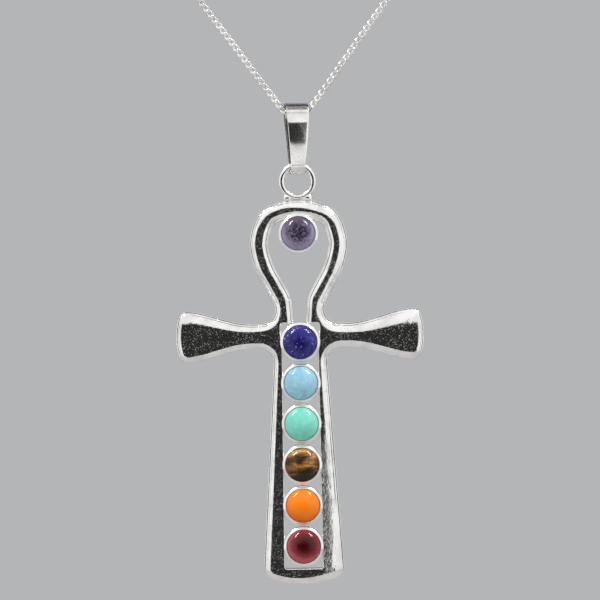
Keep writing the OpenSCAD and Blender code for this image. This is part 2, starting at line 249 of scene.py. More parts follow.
class Paint:
    """A material's or world's nodes. node() adds one: its settings are set first, then its sockets."""

    def __init__(self, owner):
        owner.use_nodes = True
        self.tree = owner.node_tree
        self.tree.nodes.clear()

    def node(self, kind, settings, sockets, out=0):
        made = self.tree.nodes.new("ShaderNode" + kind)
        for key, value in settings.items():
            if key == "stops":
                ramp = made.color_ramp
                while len(ramp.elements) < len(value):
                    ramp.elements.new(0.5)
                for element, (at, colour) in zip(ramp.elements, value):
                    element.position, element.color = at, (*colour, 1)
            else:
                setattr(made, key, value)
        for key, value in sockets.items():
            if isinstance(value, Wire):
                self.tree.links.new(value.socket, made.inputs[key])
            else:
                made.inputs[key].default_value = value
        return Wire(self, made.outputs[out]) if made.outputs else None

    def place(self, centre=(0, 0, 0), stretch=(1, 1, 1)):
        """The piece's own coordinates in millimetres from a centre, each axis stretched."""
        raw = self.node("TexCoord", {}, {}, "Object")
        scale = [1 / MM * s for s in stretch]
        moved = [-c * s for c, s in zip(centre, stretch)]
        return self.node("Mapping", {}, {"Vector": raw, "Location": moved, "Scale": scale})

    def stretch(self, place, by):
        """A place whose axes are stretched."""
        return self.node("Mapping", {}, {"Vector": place, "Scale": by})

    def split(self, vector):
        """x, y and z of a vector."""
        outputs = self.node("SeparateXYZ", {}, {0: vector}).socket.node.outputs
        return [Wire(self, outputs[k]) for k in range(3)]

    def noise(self, place, scale, detail=3.0, rough=0.5, twist=0.0):
        """Clouds from 0 to 1, so many to a millimetre as the scale says."""
        return self.node("TexNoise", {}, {"Vector": place, "Scale": scale, "Detail": detail,
                                          "Roughness": rough, "Distortion": twist})

    def spread(self, value, low, high, to_low=0.0, to_high=1.0):
        """A smooth step of a value from low to high."""
        return self.node("MapRange", {"interpolation_type": "SMOOTHSTEP"},
                         {0: value, 1: low, 2: high, 3: to_low, 4: to_high})

    def blend(self, share, first, second):
        """A mix of two colours."""
        return self.node("Mix", {"data_type": "RGBA"}, {0: share, 6: first, 7: second}, 2)

    def ramp(self, value, stops):
        """A colour for a value, from stops of (value, colour)."""
        return self.node("ValToRGB", {"stops": stops}, {0: value})

    def bump(self, height, depth, onto=None):
        """A relief, with its depth in millimetres, over another one where that is given."""
        sockets = {"Height": height, "Distance": depth * MM}
        return self.node("Bump", {}, {**sockets, **({"Normal": onto} if onto else {})})

    def finish(self, **sockets):
        """The surface's shader, with its sockets by their names."""
        named = {key.replace("_", " "): value for key, value in sockets.items()}
        shader = self.node("BsdfPrincipled", {}, named)
        self.node("OutputMaterial", {}, {"Surface": shader})


def tint(red, green, blue):
    """A colour as it shows on a screen, 0 to 255, turned into the light that makes it."""
    c = np.array([red, green, blue]) / 255
    return tuple(float(v) for v in np.where(c > 0.04045, ((c + 0.055) / 1.055) ** 2.4, c / 12.92))


def rgba(red, green, blue):
    """The same, opaque."""
    return (*tint(red, green, blue), 1)


def silver(name, grain_depth, wave_depth, speck_depth, shaded_over=None, rippled=None):
    """Mirror-bright plate over a casting: slow waves, a fine grain and scattered specks in the
    surface, with their depths in millimetres, faint cloudy patches in its colour and gloss, and a few
    small pits. Over a height, where one is given, it is painted darker as shade and made duller, with
    fine level lines. Near a rippled point (x, z), where one is given, it is uneven."""
    material = bpy.data.materials.new(name)
    paint = Paint(material)
    place = paint.place()
    clouds = paint.noise(place, 0.35, 2.0)
    grain = paint.noise(place, 3.4, 3.0, 0.65)
    speck = paint.spread(paint.noise(place, 4.2, 2.0, 0.6), 0.56, 0.72)
    waves = paint.noise(place, 0.5, 1.0)
    pits = paint.node("TexVoronoi", {}, {"Vector": place, "Scale": 1.1})
    pit = 1 - paint.spread(pits, 0.05, 0.16)
    worn = paint.blend(paint.spread(clouds, 0.35, 0.75), rgba(247, 246, 244), rgba(226, 224, 221))
    colour = paint.blend(pit * 0.5, worn, rgba(120, 116, 112))
    slow = paint.bump(waves, wave_depth)
    fine = paint.bump(grain - pit * 0.6, grain_depth, slow)
    relief = paint.bump(speck, speck_depth, fine)
    gloss = 0.05 + clouds * 0.08 + pit * 0.2
    x, _, z = paint.split(place)
    if rippled:
        half_w, half_h, ripple_depth = 1.58, 17.0, 0.16
        off_x, off_z = x - rippled[0], z - rippled[1]
        off = off_x * off_x * (1 / half_w**2) + off_z * off_z * (1 / half_h**2)
        near = 1 - paint.spread(off, 0.4, 1.0)
        ripples = paint.noise(paint.place(stretch=(1.5, 1, 0.6)), 1.2, 4.0, 0.6)
        relief = paint.bump(ripples * near, ripple_depth, relief)
    # Over the given height: painted shade, a darker grey in fine level lines, with a duller gloss
    if shaded_over is not None:
        lines = paint.noise(paint.place(stretch=(0.15, 1, 1)), 7.0, 3.0, 0.7)
        shaded_band = paint.spread(z + lines * 0.1, shaded_over, shaded_over + 0.1)
        band_shade = paint.ramp(lines, [(0.35, tint(84, 83, 82)), (0.65, tint(156, 155, 152))])
        colour, gloss = paint.blend(shaded_band * 0.95, colour, band_shade), gloss + shaded_band * 0.14
    paint.finish(Base_Color=colour, Metallic=1.0, Roughness=gloss, Normal=relief)
    return material


def stone_paint(name, centre, dress, glow):
    """A polished stone: dress() gives its colour, roughness and relief from millimetres about its
    centre. Under its clear coat the dome swells a little unevenly, and the coat grows from nothing at
    the crown to its full weight at 0.62 of the radius. The glow is the share of light that goes in."""
    full_coat, swell_depth, relief_depth = 0.65, 0.06, 0.003
    material = bpy.data.materials.new(name)
    paint = Paint(material)
    place = paint.place(centre)
    colour, rough, relief = dress(paint, place)
    swell = paint.bump(paint.noise(place, 0.45, 1.0), swell_depth)
    coat = paint.spread(from_axis(paint, place), 0.1, 0.62, 0.0, full_coat)
    normal = paint.bump(relief, relief_depth, swell)
    paint.finish(Base_Color=colour, Roughness=rough, Normal=normal, Coat_Weight=coat,
                 Coat_Roughness=0.035, Specular_IOR_Level=0.0, Subsurface_Weight=glow,
                 Subsurface_Radius=(0.0012, 0.0009, 0.0009))
    return material


def from_axis(paint, place):
    """The distance of a place from the stone's axis, as a share of the radius."""
    x, _, z = paint.split(place)
    return (x * x + z * z) ** 0.5 * (1 / STONE_R)


def amethyst(paint, place):
    """Grey violet, darkest in a broken patch at its middle, where its dark flaws are deepened as painted
    shade, and pale towards its lower rim as painted light.
    """
    z, r = paint.split(place)[2], from_axis(paint, place)
    veil = paint.noise(place, 0.55, 4.0, 0.6, 1.2)
    flaws = paint.noise(place, 1.1, 5.0, 0.7, 2.4)
    # Painted light: paler towards the rim, most at the lower rim
    pale = paint.spread(r * 0.9 - z * 0.16 + (veil - 0.5) * 0.9, 0.0, 1.0)
    body = paint.ramp(pale, [(0, tint(62, 54, 76)), (0.45, tint(92, 82, 106)), (1, tint(150, 140, 170))])
    # Painted shade: the dark flaws are kept to the middle
    dark = paint.spread(flaws, 0.47, 0.56) * (1 - paint.spread(r, 0.4, 0.95))
    lit = (1 - paint.spread(flaws, 0.36, 0.44)) * (1 - paint.spread(r, 0.6, 1.0))
    colour = paint.blend(lit * 0.5, paint.blend(dark * 0.92, body, rgba(16, 12, 22)), rgba(178, 168, 190))
    return colour, 0.08 + veil * 0.05, flaws


def lapis(paint, place):
    """Deep blue in soft clouds, with pale grains and a few specks of gold."""
    cloud = paint.noise(place, 0.7, 4.0, 0.6, 0.6)
    body = paint.ramp(cloud + from_axis(paint, place) * 0.22 - 0.14,
                      [(0.3, tint(20, 16, 70)), (0.52, tint(38, 34, 118)), (0.75, tint(74, 72, 156))])
    grains = paint.noise(place, 1.9, 5.0, 0.7)
    fleck = paint.spread(grains, 0.61, 0.67)
    pale = paint.blend(fleck * 0.8, body, rgba(166, 168, 220))
    specks = paint.node("TexVoronoi", {}, {"Vector": place, "Scale": 1.05})
    gold = 1 - paint.spread(specks, 0.09, 0.15)
    return paint.blend(gold * 0.8, pale, rgba(214, 190, 130)), 0.1 + cloud * 0.06, grains


def pale_blue(paint, place):
    """Even pale blue with a faint lighter cloud and hair-thin veins."""
    cloud = paint.noise(place, 0.45, 3.0, 0.5, 0.5)
    body = paint.ramp(cloud, [(0.3, tint(130, 184, 206)), (0.7, tint(166, 212, 230))])
    vein = 1 - paint.spread((paint.noise(place, 0.5, 4.0, 0.6, 0.9) - 0.5) ** 2.0, 0.0, 0.0006)
    return paint.blend(vein * 0.25, body, rgba(206, 232, 242)), 0.1 + cloud * 0.05, cloud


def sea_green(paint, place):
    """Even turquoise green, a little deeper in patches, with a few pinprick pores."""
    cloud = paint.noise(place, 0.5, 3.0, 0.55, 0.4)
    body = paint.ramp(cloud, [(0.3, tint(110, 206, 184)), (0.7, tint(146, 226, 206))])
    pores = paint.node("TexVoronoi", {}, {"Vector": place, "Scale": 1.5})
    pore = 1 - paint.spread(pores, 0.05, 0.1)
    return paint.blend(pore * 0.4, body, rgba(84, 160, 142)), 0.1 + cloud * 0.05, cloud


def tiger_eye(paint, place):
    """Brown stone with silky gold bands that run across it, and a painted sheen that makes it brightest in
    its upper part.
    """
    sway = paint.noise(paint.stretch(place, (0.35, 0.5, 0.9)), 0.8, 2.0)
    silk = paint.noise(paint.stretch(place, (3.2, 1.0, 0.5)), 1.0, 4.0, 0.7)
    band = paint.noise(paint.stretch(place, (0.18, 0.3, 1.0)), 0.9, 4.0, 0.6, 0.6)
    # The height term is a painted sheen, brightest in the upper part
    light = band * 0.85 + silk * 0.25 + paint.split(place)[2] * 0.055 + (sway - 0.5) * 0.5 - 0.06
    colour = paint.ramp(light, [(0.36, tint(34, 18, 8)), (0.46, tint(84, 50, 22)), (0.56, tint(142, 94, 44)),
                                (0.72, tint(220, 170, 104))])
    return colour, 0.1 + silk * 0.08, silk


def orange(paint, place):
    """Even orange, with a painted reflection that makes it warmer and deeper towards its rim, most at its
    lower rim.
    """
    (x, _, z), r = paint.split(place), from_axis(paint, place)
    cloud = paint.noise(place, 0.4, 3.0, 0.5, 0.4)
    # Painted reflection: deeper orange towards the rim, most at the lower rim
    deep = paint.spread(r * 0.8 - z * 0.14 + x * -0.04 + (cloud - 0.5) * 0.5, 0.5, 1.25)
    return paint.blend(deep, rgba(255, 134, 22), rgba(236, 108, 14)), 0.1 + cloud * 0.05, cloud


def dark_red(paint, place):
    """Dark red, painted as though clear: painted shade makes it nearly black red at its middle, and painted
    light makes it rosy where light would come through its rim.
    """
    x, _, z = paint.split(place)
    x, z = x - 0.3, z - 0.5
    veil = paint.noise(place, 0.6, 3.0, 0.55, 0.8)
    # Painted shade nearly black at the middle, set a little up and right, grading to painted light, rosy, at
    # the rim
    rim_light_share = paint.spread((x * x * 0.8 + z * z) ** 0.5 + (veil - 0.5) * 0.6, 0.7, 3.0)
    colour = paint.ramp(rim_light_share, [(0, tint(66, 8, 14)), (0.45, tint(106, 20, 28)), (0.8, tint(140, 44, 52)),
                               (1, tint(176, 84, 92))])
    return colour, 0.07 + veil * 0.04, veil


# A stone's name, its look and its glow, from the loop down to the foot
STONES = [
    ("violet", amethyst, 0.15), ("deep_blue", lapis, 0.0), ("sky_blue", pale_blue, 0.1),
    ("green", sea_green, 0.1), ("tiger_eye", tiger_eye, 0.0), ("orange", orange, 0.15),
    ("dark_red", dark_red, 0.15)]


# The casting

def loop_sides():
    """The loop's outer curve from its top to its straight side, the side's lower end, and the same
    curve one band's width further in."""
    rows = LOOP_SHAPE[:, ::-1] * [LOOP_W / 2, LOOP_H]
    curve = smooth(np.vstack([rows[1] * [-1, 1], rows]), 12)
    ahead = np.vstack([curve[1:], rows[-1]])
    behind = np.vstack([curve[1] * [-1, 1], curve[:-1]])
    along = unit(ahead - behind)
    return curve, rows[-1], curve + BAND_W * np.stack([along[:, 1], -along[:, 0]], -1)


def arm_edge():
    """An arm's upper edge: its half height grows along half a cosine wave from root to tip corner,
    whose last eighth is a straight line. Then the rounded corner, and the tip's shallow arc down to
    its middle."""
    tip_r = 1.25 * ARM_TIP_H
    corner = np.array([ANKH_W / 2 - sagitta(tip_r, ARM_TIP_H / 2), ARM_TIP_H / 2])
    t = np.linspace(0, 0.875, 36)
    half_h = (ARM_ROOT_H + (ARM_TIP_H - ARM_ROOT_H) * (1 - np.cos(math.pi * t)) / 2) / 2
    edge = np.stack([ARM_FLARE_X + (corner[0] - ARM_FLARE_X) * t, half_h], -1)
    tip = arc_fall(tip_r, ARM_TIP_H / 2, 12)[:, ::-1] + [ANKH_W / 2, 0]
    bend = fillet(edge[-1], corner, tip[4], TIP_CORNER_R)
    return edge[edge[:, 0] < bend[0, 0] - FILLET_CLEAR], bend, tip[tip[:, 1] < bend[-1, 1] - FILLET_CLEAR]


# What the inner line is at a station: the eye's rounded rim, the slot's sharp one, an arm's middle,
# or that middle beside the arm's tip
EYE, SLOT, ARM, TIP = range(4)


def casting_paths():
    """The outer outline and the inner line, right half, with the same number of stations. The inner
    line is the openings' rim, and in the arm it runs out along the arm's middle and back. With them,
    for each station, what the inner line is there, whether it is a rim at all, and the width of the
    front's rounding along the outer outline, apart from the tips.

    A stretch holds the outer points, the inner ones that they are paired with, the number of steps
    that both are cut into, what the inner line is, and the rounding's width at its start and end."""
    curve, loop_low, eye = loop_sides()
    side = curve[-1]
    edge, bend, tip = arm_edge()
    root, down = np.array([ARM_FLARE_X, ARM_ROOT_H / 2]), np.array([1, -1])
    armpit = fillet(side, at_z(side, loop_low, ARM_ROOT_H / 2), root, CROTCH_R)
    foot_r = 2.3 * LEG_HALF_FOOT
    foot_corner = np.array([LEG_HALF_FOOT, sagitta(foot_r, LEG_HALF_FOOT) - LEG_L])
    foot = arc_fall(foot_r, LEG_HALF_FOOT, 24) * down - [0, LEG_L]
    crotch_point = at_z((LEG_HALF, 0), foot_corner, -ARM_ROOT_H / 2)
    crotch = fillet(root * down, crotch_point, foot_corner, CROTCH_R)
    heel = fillet(crotch_point, foot_corner, foot[6], FOOT_CORNER_R)
    foot = foot[foot[:, 0] < heel[-1, 0] - FILLET_CLEAR]
    way = (loop_low - side) / (loop_low - side)[0]
    throat_point = eye[-1] + way * (NECK_OPEN / 2 - eye[-1][0])
    neck_low = np.array([NECK_GAP / 2, SLOT_TOP - 1])
    slot_end = (0, -SLOT_LOW)
    throat = fillet(eye[-1], throat_point, neck_low, NECK_BLEND_R)
    neck_end = at_z(throat[-1], neck_low, SLOT_TOP)
    ear_top, ear_low = np.array([SLOT_EAR_W, SLOT_TOP]), np.array([SLOT_EAR_W, SLOT_TOP - SLOT_EAR_H])
    slot_side = np.array([SLOT_HALF, -ROW_START - BEZEL_R / 2])
    slot_foot = np.array([SLOT_HALF_FOOT, -SLOT_LOW])
    ear = fillet(neck_end, ear_top, ear_low, SLOT_CORNER_R, 6)
    slot_heel = fillet(slot_side, slot_foot, slot_end, SLOT_CORNER_R, 6)
    hub, arm_start = at_z(ear_low, slot_side, -ROW_START), np.array([6.0, 0])
    hip = at_z(slot_side, slot_foot, crotch[-1, 1])
    arm_mid, arm_late, arm_end, tip_end = (np.array([x, 0]) for x in (18.5, 18.65, 18.8, 19.8))
    stretches = [
        (curve, eye, 72, EYE, 1.75, 1.7),
        ([side, armpit[0]], [eye[-1], *throat[:8]], 14, EYE, 1.7, 1.6),
        (armpit[:7], [*throat[7:], neck_end], 14, EYE, 1.6, 1.6),
        (armpit[6:10], [neck_end, *ear[:4]], 14, SLOT, 1.6, 1.7),
        (armpit[9:15], [*ear[3:], ear_low, hub], 16, SLOT, 1.7, 1.75),
        ([*armpit[14:], *edge, bend[0]], [hub, arm_start, arm_mid], 54, ARM, 1.75, 3.0),
        (bend[:9], [arm_mid, arm_late], 8, ARM, 3.0, 3.0),
        (bend[8:], [arm_late, arm_end], 8, TIP, 3.0, 3.0),
        ([bend[-1], *tip], [arm_end, tip_end], 10, TIP, 3.0, 2.0),
        ([*(tip[::-1] * down), bend[-1] * down], [tip_end, arm_end], 10, TIP, 2.0, 1.3),
        (bend[:7:-1] * down, [arm_end, arm_late], 8, TIP, 1.3, 1.3),
        (bend[8::-1] * down, [arm_late, arm_mid], 8, ARM, 1.3, 1.3),
        ([bend[0] * down, *(edge[::-1] * down), *crotch[:7]], [arm_mid, arm_start, hub],
         54, ARM, 1.3, 1.15),
        (crotch[6:13], [hub, slot_side], 14, SLOT, 1.15, 1.3),
        (crotch[12:], [slot_side, hip], 8, SLOT, 1.3, 1.4),
        ([crotch[-1], heel[0]], [hip, slot_heel[0]], 60, SLOT, 1.4, 2.3),
        (heel, slot_heel, 14, SLOT, 2.3, 1.3),
        ([heel[-1], *foot], [slot_heel[-1], slot_end], 14, SLOT, 1.3, 1.25)]
    outer = np.vstack([resample(row[0], row[2]) for row in stretches] + [[(0, -LEG_L)]])
    inner = np.vstack([resample(row[1], row[2]) for row in stretches] + [[slot_end]])
    kind = np.concatenate([np.full(row[2], row[3]) for row in stretches] + [[SLOT]])
    width = np.concatenate([np.linspace(row[4], row[5], row[2], endpoint=False) for row in stretches]
                           + [stretches[-1][5:]])
    rim = (kind < ARM).astype(float)
    rim[np.flatnonzero((kind[1:] < ARM) & (kind[:-1] >= ARM)) + 1] = 0
    return outer, inner, kind, rim, width


def whole(half):
    """A half path, or one number for each of its stations, and its mirror image, as one closed run."""
    return np.concatenate([half, half[-2:0:-1] * ([-1, 1] if half.ndim == 2 else 1)])


def whole_cells(half):
    """A mark for each step of a half path, and its mirror image."""
    return np.concatenate([half, half[::-1]])


def inward(path, sign):
    """Normals of a closed path, from the step between a point's two neighbours."""
    along = unit(np.roll(path, -1, axis=0) - np.roll(path, 1, axis=0))
    return sign * np.stack([along[:, 1], -along[:, 0]], -1)


def far(points, path, used=slice(None)):
    """Each point's distance from a closed path, or from the segments of it that are used: to the
    nearest segment, in batches."""
    a, b = path[used], np.roll(path, -1, axis=0)[used]
    run = b - a
    length2 = np.maximum((run**2).sum(-1), 1e-12)
    flat = points.reshape(-1, 2)
    batches = []
    for batch in np.array_split(flat, 1 + len(flat) // 2000):
        off = batch[:, None] - a[None]
        t = np.clip((off * run).sum(-1) / length2, 0, 1)
        batches.append(np.linalg.norm(off - t[..., None] * run, axis=-1).min(1))
    return np.concatenate(batches).reshape(points.shape[:-1])


def depth_free(path, normal, wanted):
    """How deep each station of a closed path can be carried along its normal, at most as deep as is
    wanted, before another stretch of the path is nearer: found by halving the range ten times. Beside
    a curve the path's own straight steps come a little nearer, which the allowance leaves out."""
    allowance = 0.985
    low, high = np.zeros(len(path)), np.array(wanted, float)
    for _ in range(10):
        tried = (low + high) / 2
        clear = far(path + normal * tried[:, None], path) >= allowance * tried
        low, high = np.where(clear, tried, low), np.where(clear, high, tried)
    return low


def rounding(depth, width, groove_at, groove):
    """How far below the flat front the surface lies at a depth from its edge: a quarter of an ellipse
    1 high over the width, and a shallow bell-shaped groove along the edge. At full strength the
    groove's steepest side, 0.86 of its depth over its reach, is as steep as the ellipse there."""
    left = 1 - np.clip(depth / width, 0, 1)
    left_there, groove_w, steepest = 1 - groove_at / width, 0.1, 0.86
    groove_depth = groove * groove_w / steepest * left_there / width / np.sqrt(1 - left_there**2)
    return 1 - np.sqrt(1 - left**2) + groove_depth * np.exp(-((depth - groove_at) / groove_w) ** 2)


def casting():
    """A section carried round both lines at once: up the outer wall, over the front, down the
    opening's wall, then back behind. The front's height follows a quarter of an ellipse over the
    distance to a rounded edge and is flat further in. Where the inner line is an arm's middle, the
    two sides of the arm meet there and no wall is made.

    Over the front, the outer rows lie along the outline's normals, as deep as the rounding needs but
    at most four fifths of the free depth, and the rim's rows lie straight across, on the lines from
    the inner line to the last of the outer rows, so that no two rows cross. The rounding is a little
    wider on the right than on the left."""
    half_outer, half_inner, half_kind, half_rim, half_width = casting_paths()
    outer, inner = whole(half_outer), whole(half_inner)
    kind, is_rim = whole(half_kind), whole(half_rim)
    wider_right, side_at = 0.13, 3.0
    width = whole(half_width) * (1 + wider_right * np.clip(outer[:, 0] / side_at, -1, 1))
    out_n, in_n = inward(outer, 1), inward(inner, -1)
    slot = (kind > EYE).astype(float)
    slot = np.convolve(np.concatenate([slot[-3:], slot, slot[:3]]), np.ones(7) / 7, "same")[3:-3, None]

    near = np.array([0.01, 0.035, 0.07, 0.12, 0.18, 0.25, 0.32, 0.38, 0.43, 0.48, 0.53, 0.58, 0.64,
                     0.71, 0.8])
    share_of_width, share_of_free = 0.85, 0.8
    last = share_of_width * width
    deep = near[-1] + (last - near[-1])[:, None] * np.linspace(1 / 9, 1, 9)
    reach = np.minimum(share_of_free * depth_free(outer, out_n, 1.1 * width) / last, 1)
    outer_d = np.hstack([np.tile(near, (len(outer), 1)), deep]) * reach[:, None]
    eye_d, slot_d = np.append(near, [0.9, 1.0, 1.15]), np.linspace(0.01, 0.28, len(near) + 3)
    rim_d = (eye_d * (1 - slot) + slot_d * slot) * is_rim[:, None]
    outer_rows = outer[:, None] + out_n[:, None] * outer_d[..., None]
    across = unit(outer_rows[:, -1] - inner)
    rim_rows = inner[:, None] + across[:, None] * rim_d[..., None]
    share = (0.5 - 0.5 * np.cos(math.pi * np.linspace(0, 1, 16)[1:-1]))[None, :, None]
    middle = outer_rows[:, -1:] * (1 - share) + rim_rows[:, -1:] * share
    front = np.concatenate([outer[:, None], outer_rows, middle, rim_rows[:, ::-1], inner[:, None]], 1)

    eye_round, tip_round, slot_round, drop = 1.35, 1.25, 0.2, PLATE_T - EDGE_H
    groove_at, eye_groove_at, faintest = 0.5, 0.38, 0.6
    groove = faintest + (1 - faintest) * np.clip(-out_n[:, 1:], 0, 1)
    low_end = np.flatnonzero(half_kind == SLOT)[0]
    eye = np.vstack([half_inner[low_end:0:-1] * [-1, 1], half_inner[:low_end + 1]])
    tips, beside_slot = whole_cells(half_kind[:-1] == TIP), whole_cells(half_kind[:-1] == SLOT)
    fall_out = rounding(far(front, outer, ~tips), width[:, None], groove_at, groove)
    fall_tip = rounding(far(front, outer, tips), tip_round, groove_at, faintest)
    fall_eye = rounding(far(front, np.vstack([eye, eye[-2:0:-1]])), eye_round, eye_groove_at, 1.0)
    off = far(front, inner, beside_slot)
    fall_slot = slot_round / drop * (1 - np.sqrt(1 - (1 - np.clip(off / slot_round, 0, 1)) ** 2))
    height = PLATE_T - drop * (np.maximum(np.maximum(fall_out, fall_tip), fall_eye) + fall_slot)
    face = np.concatenate([front[..., :1], height[..., None], front[..., 1:]], -1)

    def wall(path, normal, top, reach_in, up):
        """Down or up a wall: from halfway down it to the bevel along the back edge, which is rounded
        off, and a little way in."""
        depth = np.array([0.0, 0.0, 0.03, 0.1, BACK_BEVEL, BACK_BEVEL + 0.12])
        low = np.array([BACK_BEVEL, BACK_BEVEL, 0.12, 0.04, 0.0, 0.0])
        rows = path[:, None] + normal[:, None] * (depth[None] * reach_in[:, None])[..., None]
        h = np.minimum(low[None], top[:, None])
        h[:, 0] = (top + BACK_BEVEL) / 2
        made = np.concatenate([rows[..., :1], h[..., None], rows[..., 1:]], -1)
        return made[:, ::-1] if up else made

    outer_wall = wall(outer, out_n, face[:, 0, 1], np.ones(len(outer)), True)
    rim_wall = wall(inner, in_n, face[:, -1, 1], is_rim, False)
    grid = np.concatenate([outer_wall, face, rim_wall], 1)
    kept = np.ones(grid.shape[:2], bool)
    kept[whole_cells(half_kind[:-1] >= ARM), -rim_wall.shape[1] - 1:-1] = False
    return on_ankh(grid), True, True, kept


def bezel(z):
    """A cup turned about the stone's axis: flat back, straight wall, a lip burnished in towards the
    stone that is rounded on both its edges, and a flat floor."""
    back_edge, floor_edge, shoulder_r, shoulder_drop, crest_r = 0.1, 0.1, 0.12, 0.42, 0.1
    lip, r, front = math.radians(58), BEZEL_R, BEZEL_FRONT
    profile = [(0, BEZEL_BACK), (r - 4 * back_edge, BEZEL_BACK), (r - back_edge, BEZEL_BACK + 0.03),
               (r, BEZEL_BACK + 0.16), (r, 1.2), (r, front - 0.5)]
    profile += [(r - shoulder_r * (1 - math.cos(a)), front - shoulder_drop + shoulder_r * math.sin(a))
                for a in np.linspace(0, lip, 5)]
    profile += [(POCKET_R + crest_r * (1 + math.cos(a)), front - crest_r * (1 - math.sin(a)))
                for a in np.linspace(lip, math.pi, 8)]
    profile += [(POCKET_R, POCKET_FLOOR + floor_edge), (POCKET_R - floor_edge, POCKET_FLOOR),
                (0, POCKET_FLOOR)]
    return lathe(profile, z)


def cabochon(z):
    """A round stone: straight side with a small bevel at its foot, then a spherical cap."""
    seat, foot_bevel = POCKET_FLOOR + STONE_GAP, 0.15
    cap_r = (STONE_R**2 + DOME_H**2) / (2 * DOME_H)
    top = seat + GIRDLE_H + DOME_H
    profile = [(0, seat), (STONE_R - foot_bevel, seat), (STONE_R, seat + foot_bevel),
               (STONE_R, seat + GIRDLE_H - 0.12)]
    profile += [(cap_r * math.sin(a), top - cap_r * (1 - math.cos(a)))
                for a in np.linspace(math.asin(STONE_R / cap_r), 0, 22)]
    return lathe(profile, z, 96)


def ring():
    """A torus that stands in the casting's plane."""
    a = circle(96)
    out = np.stack([np.sin(a), 0 * a, np.cos(a)], -1)
    path = out * RING_R + [0, HANG_DEPTH, RING_Z]
    front = np.tile([0.0, 1.0, 0.0], (len(a), 1))
    return on_ankh(tube(path, RING_WIRE_R, out, front, 24)), True, True


def blob(centre, radii, turn, power):
    """A rounded lump: a sphere whose sines and cosines are raised to a power, squarer below 1,
    stretched and turned about Y."""
    u = np.linspace(-math.pi / 2, math.pi / 2, 17)[None, :, None]
    v = circle(28)[:, None, None]

    def eased(w):
        return np.sign(w) * np.abs(w) ** power

    flat = np.concatenate([eased(np.cos(u)) * eased(np.cos(v)), eased(np.cos(u)) * eased(np.sin(v)),
                           eased(np.sin(u)) + 0 * v], -1) * radii
    x, y, z = np.moveaxis(flat, -1, 0)
    c, s = math.cos(turn), math.sin(turn)
    return on_ankh(np.stack([x * c + z * s, y, z * c - x * s], -1) + centre), True, False


def ring_feet():
    """The solder that joins the ring to the loop's top on each side."""
    from_middle, rise, radii, lean, power = 1.85, 0.25, (0.95, 0.68, 0.85), 0.45, 0.97
    return [blob((side * from_middle, HANG_DEPTH, LOOP_H + rise), radii, side * lean, power)
            for side in (-1, 1)]


# Bail

def strap():
    """A band folded round two circles and the lines that touch both, except that the front line goes
    on to the upper fold's own front, a little over its level diameter. That line is bowed: its
    steepness, in millimetres for its whole length, holds over the lower two fifths, falls off, falls
    faster near the top and holds again. The section is a bar with rounded front edges, crowned
    across, and its width follows the height."""
    top_r, low_r = FOLD_TOP_R + STRAP_T / 2, FOLD_LOW_R + STRAP_T / 2
    lean = math.asin((top_r - low_r) / BAIL_L)
    past_level = 0.15
    top_turn = np.linspace(past_level, math.pi + lean, 29)
    low_turn = np.linspace(math.pi + lean, 2 * math.pi - lean, 25)
    top = np.stack([-top_r * np.cos(top_turn), BAIL_L + top_r * np.sin(top_turn)], -1)
    low = np.stack([-low_r * np.cos(low_turn), low_r * np.sin(low_turn)], -1)
    t = np.linspace(0, 1, 32)[1:-1, None]
    steepness = np.interp(t[:, 0], [0, 0.39, 0.82, 0.9], [0.95, 0.95, -0.93, -2.7])
    bow = np.cumsum(steepness) / len(t)
    bow = np.stack([t[:, 0] * bow[-1] - bow, 0 * bow], -1)
    path = np.vstack([top, top[-1] * (1 - t) + low[0] * t, low, low[-1] * (1 - t) + top[0] * t + bow])
    along = unit(np.roll(path, -1, axis=0) - np.roll(path, 1, axis=0))
    normal = np.stack([-along[:, 1], along[:, 0]], -1)
    normal *= np.sign((normal * (path - [0, BAIL_L / 2])).sum(-1, keepdims=True))
    rise = np.clip(path[:, 1] / BAIL_L, 0, 1)
    half_w = (BAIL_LOW_W + (BAIL_TOP_W - BAIL_LOW_W) * rise) / 2
    edge, crown, back_edge, back_drop = 0.16, 0.02, 0.06, 0.02
    across = np.linspace(-1, 1, 15)
    corner = np.linspace(0, math.pi / 2, 5)
    face_x = across[None] * (half_w[:, None] - edge)
    face_h = STRAP_T / 2 - crown * across[None]**2 + 0 * face_x
    right_x = half_w[:, None] - edge + edge * np.sin(corner)[None, 1:]
    right_h = (STRAP_T / 2 - crown - edge) + edge * np.cos(corner)[None, 1:] + 0 * right_x
    low_x = half_w[:, None] - back_edge * np.array([[0.3, 1.0]])
    low_h = -STRAP_T / 2 + np.array([[back_drop, 0.0]]) + 0 * low_x
    back_x = -across[None, 1:-1] * (half_w[:, None] - 0.1)
    back_h = -STRAP_T / 2 + 0 * back_x
    x = np.hstack([face_x, right_x, low_x, back_x, -low_x[:, ::-1], -right_x[:, ::-1]])
    h = np.hstack([face_h, right_h, low_h, back_h, low_h[:, ::-1], right_h[:, ::-1]])
    y = path[:, :1] + normal[:, :1] * h
    z = path[:, 1:] + normal[:, 1:] * h
    c, s = math.cos(BAIL_TURN), math.sin(BAIL_TURN)
    grid = np.stack([x * c - y * s, x * s + y * c, z], -1)
    return grid + HANG - [0, 0, BAIL_L], True, True


# Chain

